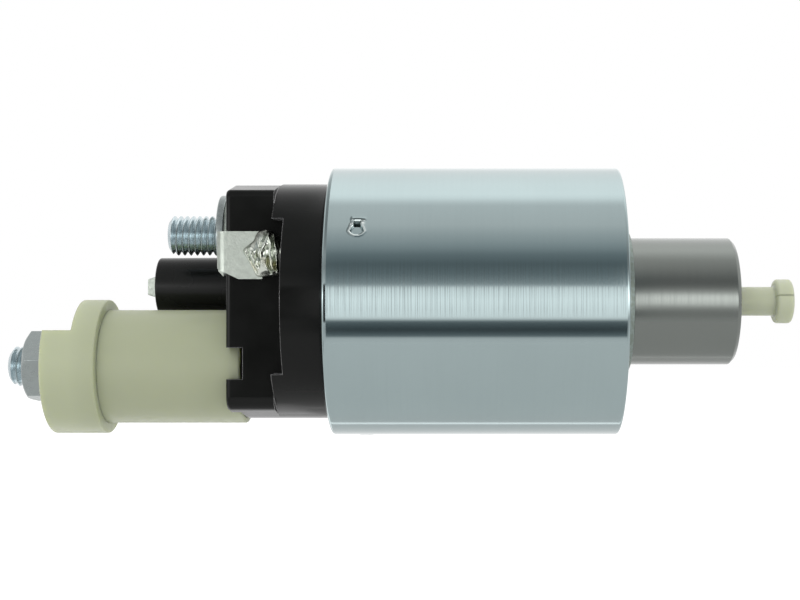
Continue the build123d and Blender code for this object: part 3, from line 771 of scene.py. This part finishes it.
def paint_stake_light(mesh):
    """Keeps the painted highlight and painted shade of the stake marks on the outside of the case."""
    painted_highlight_layer = mesh.verts.layers.float.new("painted_highlight")
    painted_shade_layer = mesh.verts.layers.float.new("painted_shade")
    for vert in mesh.verts:
        y = vert.co.y / MM
        z = vert.co.z / MM
        point = stake_place(vert.co.x / MM, math.atan2(z, -y))
        if point is not None and math.hypot(y, z) > case_radius - 2.0:
            vert[painted_highlight_layer], vert[painted_shade_layer] = stake_painted_light(point)


mount_hole_radius = 2.5
mount_hole_break = 0.25
hole_sides = 48
wall_margin = 0.25
mount_hole_centres = [Vector((side * 20.0, 0.0)) for side in (-1, 1)]
end_wall_x = -4.5
case_inner_radius = rim_inner_radius - 1.3
boss_foot_radius = boss_bore_radius + 0.9
edge_round = 0.45
case_angles = full_turn(192, stake_angles, math.radians(5.8), math.radians(0.25))


def make_case():
    """Turned case with rolled lip, boss, bored end wall and stake marks."""
    lip_root_x = case_low.x + 0.7
    lip_inner_radius = case_radius - 3.0
    plate_x = plate_high.x + 0.05
    corners = [
        (case_high.x, boss_bore_radius, 0.12),
        (case_high.x, boss_bore_radius + 0.7, 0.3),
        (0.0, boss_foot_radius, 0.0),
        (0.0, case_radius, edge_round),
        (lip_root_x, case_radius, edge_round),
        (case_low.x, case_radius - 2.3, 0.3),
        (case_low.x, lip_inner_radius, 0.1),
        (case_low.x + 0.6, lip_inner_radius, 0.0),
        (case_low.x + 2.3, rim_inner_radius, 0.0),
        (plate_x, rim_inner_radius, 0.0),
        (plate_x, case_inner_radius, 0.0),
        (end_wall_x, case_inner_radius, 0.0),
        (end_wall_x, boss_bore_radius, 0.0),
    ]
    outline = rounded_outline(corners)
    fine_reach = 2.5
    fine_step = 0.11
    fine_steps = range(int(2 * fine_reach / fine_step) + 1)
    fine = [stake_x + fine_reach - step * fine_step for step in fine_steps]
    coarse = [-edge_round - 0.15, -2.0, -8.0, -16.0, -24.0, -32.0, -40.0, -45.0]
    outer = [Vector((x, case_radius)) for x in coarse + fine + [lip_root_x + 0.8]]
    top_end = next(index for index, point in enumerate(outline) if point.x < lip_root_x + 3.0)
    outline = outline[:top_end] + outer + outline[top_end:]
    mesh = bmesh.new()
    add_turned(mesh, outline, case_angles, relief=stake_relief)
    # Painted highlight and painted shade of the stake marks
    paint_stake_light(mesh)
    flat = [face for face in mesh.faces if is_end_wall(face)]
    bmesh.ops.delete(mesh, geom=flat, context="FACES")
    broken = mount_hole_radius + mount_hole_break
    add_bored_wall(mesh, 0.0, boss_foot_radius, case_radius - edge_round, broken)
    add_bored_wall(mesh, end_wall_x, boss_bore_radius, case_inner_radius, mount_hole_radius)
    bore = ((0.0, broken), (-mount_hole_break, mount_hole_radius), (end_wall_x, mount_hole_radius))
    for centre in mount_hole_centres:
        add_hole_walls(mesh, centre, bore)
    as_piece("case_shell", mesh, "housing", "case", 30.0)


def is_end_wall(face):
    """True for a face in the flat of the end wall, inside or outside."""
    return any(all(abs(vert.co.x / MM - x) < 1e-4 for vert in face.verts) for x in (0.0, end_wall_x))


def add_bored_wall(mesh, x, inner, outer, hole_radius):
    """Adds a flat ring at x between two radii, with the mounting holes through it."""
    loops = []
    for radius in (outer, outer - wall_margin, inner + wall_margin, inner):
        ring = [Vector((-radius * math.cos(angle), radius * math.sin(angle))) for angle in case_angles]
        loops.append(ring)
    loops += [hole_circle(centre, hole_radius) for centre in mount_hole_centres]
    points = [point for loop in loops for point in loop]
    edges = []
    first = 0
    for loop in loops:
        count = len(loop)
        edges += [(first + index, first + (index + 1) % count) for index in range(count)]
        first += count
    result = delaunay_2d_cdt(points, edges, [], 0, 1e-5)
    corners = [new_vert(mesh, x, point.x, point.y) for point in result[0]]
    for face in result[2]:
        places = [result[0][index] for index in face]
        middle = sum(places, Vector((0.0, 0.0))) / len(places)
        reaches = [max((place - centre).length for place in places) for centre in mount_hole_centres]
        if inner < middle.length < outer and min(reaches) >= hole_radius + 0.01:
            mesh.faces.new([corners[index] for index in face])


def hole_circle(centre, radius):
    """Points of a circle about a centre in Y and Z."""
    turns = [math.tau * index / hole_sides for index in range(hole_sides)]
    return [centre + radius * Vector((math.cos(turn), math.sin(turn))) for turn in turns]


def add_hole_walls(mesh, centre, stations):
    """Adds the wall of a bore through (x, radius) stations."""
    rings = []
    for x, radius in stations:
        rings.append([new_vert(mesh, x, point.x, point.y) for point in hole_circle(centre, radius)])
    for near, far in zip(rings, rings[1:]):
        join_loops(mesh, near, far)


make_case()


# Studs with their M8 threads

thread_pitch = 1.25
thread_depth = 0.74
thread_rows = 14
thread_sides = 56


def thread_sink(share):
    """How far the thread is cut at a share of its pitch, from 0 at the crest to 1 at the root."""
    away = abs(share - 0.5) * 2
    return 0.3 * away + 0.7 * (0.5 - 0.5 * math.cos(math.pi * away))


def add_thread(mesh, left_x, right_x, crest_radius, centre_z, end_radius, end_slope):
    """Adds a threaded rod from its chamfered left end to right_x."""
    turns = int((right_x - left_x) / thread_pitch) + 2
    rows = []
    for row in range(-thread_rows, turns * thread_rows + 1):
        depth = thread_depth * thread_sink((row / thread_rows) % 1.0)
        ring = []
        for side in range(thread_sides):
            turn = side / thread_sides
            x = left_x + (row / thread_rows + turn) * thread_pitch
            x = min(max(x, left_x), right_x)
            reach = min(crest_radius - depth, end_radius + (x - left_x) * end_slope)
            angle = math.tau * turn
            ring.append(new_vert(mesh, x, -reach * math.cos(angle), centre_z + reach * math.sin(angle)))
        rows.append(ring)
    for index in range(len(rows) - 1):
        for side in range(thread_sides):
            far = index + (thread_rows if side == thread_sides - 1 else 0)
            after = (side + 1) % thread_sides
            if far + 1 < len(rows):
                corners = [rows[index][side], rows[far][after], rows[far + 1][after], rows[index + 1][side]]
                mesh.faces.new(corners)


def make_stud(node, free_x):
    """Contact stud: threaded end, shank and square contact head."""
    crest_radius = 3.95
    shank_radius = 3.6
    end_radius = 2.9
    end_slope = 1.25
    dish_radius = 2.4
    head_edge = 0.4
    low, high = millimetres(node)
    centre_z = (low.z + high.z) / 2
    dish_x = low.x + 0.3
    shank_x = free_x + 0.9
    head_x = high.x - 4.0
    shank_end_x = head_x + 0.5
    mesh = bmesh.new()
    add_thread(mesh, low.x, free_x + 1.2, crest_radius, centre_z, end_radius, end_slope)
    tip = ((low.x, 0.0), (low.x, end_radius), (dish_x, dish_radius), (dish_x, 0.0))
    shank = ((shank_x, 0.0), (shank_x, shank_radius), (shank_end_x, shank_radius), (shank_end_x, 0.0))
    for outline in (tip, shank):
        add_turned(mesh, [Vector(corner) for corner in outline], full_turn(thread_sides), centre_z)
    head = bmesh.ops.create_cube(mesh, size=1.0)["verts"]
    middle = Vector(((head_x + high.x) / 2, 0.0, centre_z))
    size = Vector((high.x - head_x, high.y - low.y, high.y - low.y))
    for vert in head:
        vert.co = (vert.co * size + middle) * MM
    edges = {edge for vert in head for edge in vert.link_edges}
    bmesh.ops.bevel(mesh, geom=list(edges), offset=head_edge * MM, segments=2, affect="EDGES")
    as_piece(node + "_threaded", mesh, "housing", node, 62.0)


for stud, seat in (("motor_stud", "motor_washer"), ("battery_stud", "battery_nut")):
    make_stud(stud, millimetres(seat)[0].x)


# Nylon hook rod with the parting line of its mould

hook_angles = (math.radians(15.6), math.radians(195.6))


def parting_line(x, radius, angle):
    """Thin parting line along both sides of the rod's head."""
    depth = 0.2
    width = 0.06
    if x < hook_high.x - 3.6 or radius < 2.0:
        return 0.0
    nearest = min(abs(math.remainder(angle - side, math.tau)) for side in hook_angles)
    return -depth * hill(nearest * radius, width)


def make_hook_rod():
    """Pull rod, its clip groove and its disc head."""
    rod_radius = 2.88
    groove_radius = rod_radius - 0.7
    groove_x = hook_low.x + 1.6
    groove_end_x = hook_low.x + 2.5
    head_radius = hook_high.z
    head_x = hook_high.x - 3.4
    corners = [
        (hook_low.x, 0.0, 0.0),
        (hook_low.x, rod_radius, 0.4),
        (groove_x, rod_radius, 0.1),
        (groove_x, groove_radius, 0.1),
        (groove_end_x, groove_radius, 0.1),
        (groove_end_x, rod_radius, 0.1),
        (head_x, rod_radius, 0.45),
        (head_x, head_radius, 0.7),
        (hook_high.x, head_radius, 0.7),
        (hook_high.x, 1.1, 0.3),
        (hook_high.x - 0.15, 0.0, 0.0),
    ]
    outline = rounded_outline(corners, 6)
    split = next(index for index, point in enumerate(outline) if point.x > head_x - 0.6)
    extra = [Vector((x, rod_radius)) for x in (0.0, 12.0, plunger_high.x + 0.5, plunger_high.x + 2.0)]
    outline = outline[:split] + extra + outline[split:]
    angles = full_turn(96, hook_angles, math.radians(4.0), math.radians(0.6))
    mesh = bmesh.new()
    add_turned(mesh, outline, angles, relief=parting_line)
    as_piece("hook_rod_moulding", mesh, "hook", "hook_rod", 40.0)


make_hook_rod()


# Solder joint on the terminal tab

solder_outline = (
    (-72.0, 9.4), (-70.9, 10.5), (-70.0, 11.3), (-69.6, 12.3), (-69.0, 13.0), (-68.2, 13.25),
    (-67.2, 13.4), (-66.2, 12.9), (-65.3, 11.8), (-64.65, 10.5), (-64.3, 8.9), (-64.3, 7.2),
    (-64.4, 5.6), (-65.2, 4.75), (-67.2, 4.5), (-69.3, 4.5), (-70.3, 6.2), (-71.3, 7.9),
)
# Ridges and creases as (x and z of the top end, x and z of the bottom end, width, lift)
solder_folds = (
    (-70.6, 9.8, -69.4, 6.2, 0.35, 0.3),
    (-71.1, 8.8, -69.6, 5.4, 0.22, -0.35),
    (-68.9, 11.8, -69.0, 6.5, 0.5, -0.2),
    (-67.6, 12.8, -68.9, 8.6, 0.22, -0.32),
    (-68.0, 10.6, -68.5, 8.2, 0.4, 0.22),
    (-68.2, 7.2, -67.8, 5.6, 0.9, 0.3),
    (-67.1, 9.4, -66.7, 5.3, 0.24, -0.38),
    (-67.0, 12.4, -66.2, 5.6, 0.24, 0.34),
    (-66.2, 11.8, -65.6, 6.2, 0.16, -0.3),
    (-65.9, 11.9, -65.2, 5.6, 0.22, 0.3),
)
lead_z = 9.0
lead_end_x = -69.0
lead_cover = 1.8
lead_half_width = 1.15
solder_middle = Vector((-67.9, 8.8))
solder_rings = 46
solder_seed = Vector((3.1, 0.7, 5.2))
solder_crest = Vector((-66.9, 9.0))


def closed_curve(points, steps):
    """Smooth closed curve through the points."""
    curve = []
    count = len(points)
    for index in range(count):
        before, start, end, after = (Vector(points[(index + shift) % count]) for shift in (-1, 0, 1, 2))
        for step in range(steps):
            t = step / steps
            linear = (end - before) * t
            square = (2 * before - 5 * start + 4 * end - after) * t * t
            cube = (3 * start - before - 3 * end + after) * t * t * t
            curve.append(0.5 * (2 * start + linear + square + cube))
    return curve


def fold_lift(place):
    """Lift of the drawn ridges and creases at a place in X and Z."""
    total = 0.0
    wander = 0.5 * noise.noise(Vector((place.x * 0.5, place.y * 0.6, 0.0)) + solder_seed)
    for top_x, top_z, bottom_x, bottom_z, width, lift in solder_folds:
        start = Vector((top_x, top_z))
        along = Vector((bottom_x, bottom_z)) - start
        offset = place - start
        share = offset.dot(along) / along.length_squared
        aside = (offset - along * share).dot(Vector((along.y, -along.x)).normalized()) + wander
        beyond = max(0.0, -share, share - 1.0) * along.length
        total += lift * math.exp(-((aside / width) ** 2) - (beyond / 0.6) ** 2)
    return total


def make_solder():
    """Blob of solder with drawn ridges, thick at its middle and thin at its feathered edge."""
    thinnest = 0.02
    border = closed_curve(solder_outline, 10)
    tab_y = solder_high.y
    height = tab_y - solder_low.y
    mesh = bmesh.new()
    residue = mesh.verts.layers.float.new("residue")
    loops = []
    for ring in range(solder_rings + 1):
        share = 1 - ring / solder_rings
        rising = smooth_step((1 - share) * 7)
        loop = []
        for point in border:
            place = solder_middle + (point - solder_middle) * share
            rightward = smooth_step((point.x - solder_middle.x) / 3.0)
            dome = (1 - share ** (2.4 + 14.0 * rightward)) ** 0.6
            reach = (place - solder_crest).length / 6.0
            body = 0.78 - 0.22 * reach * reach
            lift = height * dome * (body + fold_lift(place) * rising)
            if ring and place.x > lead_end_x:
                cover = lead_cover * math.exp(-(((place.y - lead_z) / lead_half_width) ** 4))
                lift = max(lift, cover + 0.1 * math.sin(place.x * 5.0 + place.y))
            vert = new_vert(mesh, place.x, tab_y - max(thinnest, min(lift, height)), place.y)
            upper = smooth_step((place.y - 8.6) / 3.0)
            vert[residue] = upper * smooth_step((share - 0.62) / 0.3)
            loop.append(vert)
        loops.append(loop)
    back_y = tab_y + 0.05
    back = [mesh.verts.new((vert.co.x, back_y * MM, vert.co.z)) for vert in loops[0]]
    for outer, inner in zip([back, *loops], loops):
        join_loops(mesh, outer, inner)
    mesh.faces.new(back)
    as_piece("solder_blob", mesh, "housing", "solder_joint", 60.0)


make_solder()


# Camera, studio and world


def make_camera():
    """Camera square to the plunger's axis, shifted to the photograph's framing."""
    data = bpy.data.cameras.new("camera")
    data.sensor_width = sensor_width
    data.lens = focal_pixels / image_width * sensor_width
    data.shift_x = (image_width / 2 - axis_column) / image_width
    data.shift_y = (axis_row - image_height / 2) / image_width
    data.clip_start = 0.01
    data.clip_end = 50.0
    camera = put_in_scene("camera", data)
    camera.location = (camera_x * MM, -camera_distance * MM, camera_z * MM)
    camera.rotation_euler = (math.radians(90), 0, 0)
    bpy.context.scene.camera = camera


def background_share(tree):
    """1 for rays that see the white background: camera, glossy and transmission rays."""
    paths = new_node(tree, "LightPath", {})
    share = paths.outputs["Is Camera Ray"]
    for name in ("Is Glossy Ray", "Is Transmission Ray"):
        share = result_of("MAXIMUM", share, paths.outputs[name])
    return share


def mixed_shader(factor, first, second):
    """Shader between two shaders' outputs."""
    inputs = {"Fac": factor, 1: first, 2: second}
    return new_node(factor.id_data, "MixShader", inputs).outputs["Shader"]


def make_world():
    """Even soft light, and a white background where it is seen or mirrored."""
    world = bpy.data.worlds.new("studio")
    world.use_nodes = True
    bpy.context.scene.world = world
    tree = world.node_tree
    white = (1.0, 1.0, 1.0)
    light = tree.nodes["Background"]
    fill(light, {"Color": white, "Strength": world_level})
    seen = new_node(tree, "Background", {"Color": white, "Strength": 1.0})
    outputs = (light.outputs["Background"], seen.outputs["Background"])
    choice = mixed_shader(background_share(tree), *outputs)
    fill(tree.nodes["World Output"], {"Surface": choice})


def stage_mesh(name, corners, faces, material):
    """Flat or bent sheet of the studio."""
    data = bpy.data.meshes.new(name)
    data.from_pydata(corners, [], faces)
    data.materials.append(material)
    sheet = put_in_scene(name, data)
    return sheet


def level_sheet(name, low_x, high_x, low_y, high_y, z, material):
    """Level sheet of the studio."""
    corners = [(low_x, low_y, z), (high_x, low_y, z), (high_x, high_y, z), (low_x, high_y, z)]
    return stage_mesh(name, corners, [(0, 1, 2, 3)], material)


def make_floor():
    """Pale floor that stays white where it is seen and keeps the shadow."""
    material, tree = new_surface("floor_white", (0.82, 0.82, 0.82), roughness=0.9)
    dressed(material, {"Specular IOR Level": 0.0})
    levels = (floor_glow, floor_glow_mirrored, 0.0)
    glow, mirrored, none = (
        new_node(tree, "Emission", {"Strength": level}).outputs["Emission"] for level in levels
    )
    glossy = new_node(tree, "LightPath", {}).outputs["Is Glossy Ray"]
    chosen = mixed_shader(glossy, glow, mirrored)
    seen = mixed_shader(background_share(tree), none, chosen)
    paint = tree.nodes["Principled BSDF"].outputs["BSDF"]
    both = new_node(tree, "AddShader", {0: paint, 1: seen})
    fill(tree.nodes["Material Output"], {"Surface": both.outputs["Shader"]})
    reach = floor_half_width
    level_sheet("floor", -reach, reach, -reach, reach, floor_z, material)


# Light and dark panels round the object, as (angle above the camera side, level)
case_panels = (
    (-34, 1), (-29, 0.92), (-28.2, 0.27), (-23, 0.09), (-17.5, 0.2), (-15.9, 0.22), (-14.7, 1.15),
    (-12.5, 1.6), (0, 1.86), (8, 1.62), (10.4, 1.4), (11.3, 0.58), (20, 0.32), (28, 0.23),
    (36, 0.35), (44, 0.6), (53, 0.77), (62, 0.97), (82, 1.08), (86, 1.27), (91, 1.62), (96, 1.75),
    (111, 1.65), (139, 1.25), (180, 1.15), (216, 0.95),
)
plunger_panels = (
    (-34, 1), (-27, 0.75), (-19, 0.62), (-14, 0.8), (-9, 1.6), (-2, 2.8), (3, 3.4), (8, 3.1),
    (15, 1.4), (22, 0.6), (28, 0.42), (37, 0.4), (46, 0.58), (60, 0.82), (77, 1.03), (88, 1.4),
    (100, 1.8), (128, 1.45), (180, 1.1), (216, 0.95),
)
terminal_panels = (
    (-34, 0.95), (-22, 0.7), (-14, 1.1), (0, 1.6), (9, 1.4), (16, 0.85), (26, 0.5), (36, 0.62),
    (44, 0.5), (62, 0.38), (82, 0.45), (100, 0.6), (120, 0.85), (132, 1.05), (139, 1.15),
    (180, 1.15), (216, 0.95),
)
nut_panels = (
    (-34, 0.8), (-10, 1.3), (0, 1.9), (4, 5), (8, 2.2), (12, 1.2), (30, 0.7), (82, 0.95),
    (216, 0.9),
)
end_panels = (
    (-34, 1), (-28.2, 0.8), (-16.6, 0.75), (-14.7, 1.3), (-6, 2.2), (2, 3.3), (10, 1.9), (20, 0.6),
    (36, 0.4), (62, 0.7), (96, 1.2), (139, 1.1), (216, 0.95),
)
tent_half_length = 600.0
far_left_x = -230.0
far_right_x = 150.0
nut_panels_x = -140.0
plunger_panels_x = 23.5
terminal_panels_x = -77.5
# Dark card as (low x, high x, low angle, high angle)
dark_card = (-112.0, -78.0, -17.0, 12.5)
left_card_level = 0.55
strip_lift = 0.001
# Strips on the floor as (low x, high x, low y, high y, level)
floor_strips = {
    "case_strip": (-77.5, 60.0, 61.0, 71.0, 1.75),
    "cap_strip": (-240.0, -77.5, 45.0, 140.0, 1.7),
    "nut_strip": (-250.0, -130.0, -200.0, -115.0, 0.6),
}


def light_material(name, level):
    """Material of even light, and its Emission node."""
    material = bpy.data.materials.new(name)
    material.use_nodes = True
    tree = material.node_tree
    tree.nodes.remove(tree.nodes["Principled BSDF"])
    glow = new_node(tree, "Emission", {"Strength": level})
    fill(tree.nodes["Material Output"], {"Surface": glow.outputs["Emission"]})
    return material, glow


def panel_material(name, levels, coolness):
    """Light of the given levels over the angle round the X axis, its dark parts bluer."""
    cool_below = 0.9
    red_loss = 0.22
    blue_gain = 0.1
    first_angle = levels[0][0]
    last_angle = levels[-1][0]
    brightest = max(level for angle, level in levels)
    material, glow = light_material(name, brightest)
    tree = material.node_tree
    split = new_node(tree, "SeparateXYZ", {"Vector": object_place(tree)})
    turn = result_of("ARCTAN2", split.outputs["Z"], scaled(split.outputs["Y"], -1.0))
    first_turn = math.radians(first_angle - 1)
    turn = result_of("WRAP", turn, first_turn + math.tau, first_turn)
    spread = remapped(turn, 0.0, 1.0, math.radians(first_angle), math.radians(last_angle))
    ramp = new_node(tree, "ValToRGB", {"Fac": spread})
    elements = ramp.color_ramp.elements
    for index, (angle, level) in enumerate(levels):
        position = (angle - first_angle) / (last_angle - first_angle)
        element = elements[index] if index < 2 else elements.new(position)
        element.position = position
        share = level / brightest
        dark = max(0.0, 1.0 - level / cool_below) * coolness
        element.color = (share * (1.0 - red_loss * dark), share, share * (1.0 + blue_gain * dark), 1.0)
    fill(glow, {"Color": ramp.outputs["Color"]})
    return material


def only_mirrored(sheet):
    """Lets glossy rays alone see a sheet."""
    kinds = ("camera", "diffuse", "transmission", "shadow", "volume_scatter")
    set_all(sheet, {"visible_" + kind: False for kind in kinds})


def curved_sheet(name, low_x, high_x, low_angle, high_angle, radius, material):
    """Sheet bent round the X axis, seen in mirrors only."""
    steps = max(2, int((high_angle - low_angle) / 3))
    corners = []
    faces = []
    for step in range(steps + 1):
        angle = math.radians(low_angle + (high_angle - low_angle) * step / steps)
        y = -radius * math.cos(angle)
        z = radius * math.sin(angle)
        corners += [(low_x * MM, y, z), (high_x * MM, y, z)]
        if step:
            faces.append((2 * step - 2, 2 * step - 1, 2 * step + 1, 2 * step))
    only_mirrored(stage_mesh(name, corners, faces, material))


def make_panels():
    """Ring of soft boxes and dark flags that the metal mirrors."""
    sections = (
        ("far_right_panels", far_right_x, tent_half_length, end_panels, 0.5),
        ("plunger_panels", plunger_panels_x, far_right_x, plunger_panels, 0.2),
        ("case_panels", terminal_panels_x, plunger_panels_x, case_panels, 1.0),
        ("terminal_panels", nut_panels_x, terminal_panels_x, terminal_panels, 0.2),
        ("nut_panels", far_left_x, nut_panels_x, nut_panels, 0.2),
        ("far_left_panels", -tent_half_length, far_left_x, end_panels, 0.5),
    )
    for name, low_x, high_x, levels, coolness in sections:
        material = panel_material(name, levels, coolness)
        curved_sheet(name, low_x, high_x, levels[0][0], levels[-1][0], tent_radius, material)
    curved_sheet("dark_card", *dark_card, tent_radius * 0.98, light_material("dark_card", 0.0)[0])
    sides = ((-1, -1), (1, -1), (1, 1), (-1, 1))
    corners = [(-tent_half_length * MM, y * tent_radius, z * tent_radius) for y, z in sides]
    grey = light_material("left_card", left_card_level)[0]
    only_mirrored(stage_mesh("left_card", corners, [(0, 1, 2, 3)], grey))
    for name, (*edges, level) in floor_strips.items():
        places = [edge * MM for edge in edges]
        strip_light = light_material(name, level)[0]
        only_mirrored(level_sheet(name, *places, floor_z + strip_lift, strip_light))


def make_key_light():
    """Large soft lamp from above the camera, for form on the plastics."""
    data = bpy.data.lights.new("key", "AREA")
    data.size = key_size
    data.energy = key_power
    lamp = put_in_scene("key", data)
    lamp.location = key_place
    towards = Vector(key_aim) - Vector(key_place)
    lamp.rotation_euler = towards.to_track_quat("-Z", "Y").to_euler()
    lamp.visible_glossy = False


make_camera()
make_world()
make_floor()
make_panels()
make_key_light()
bpy.context.scene.view_settings.view_transform = "Standard"
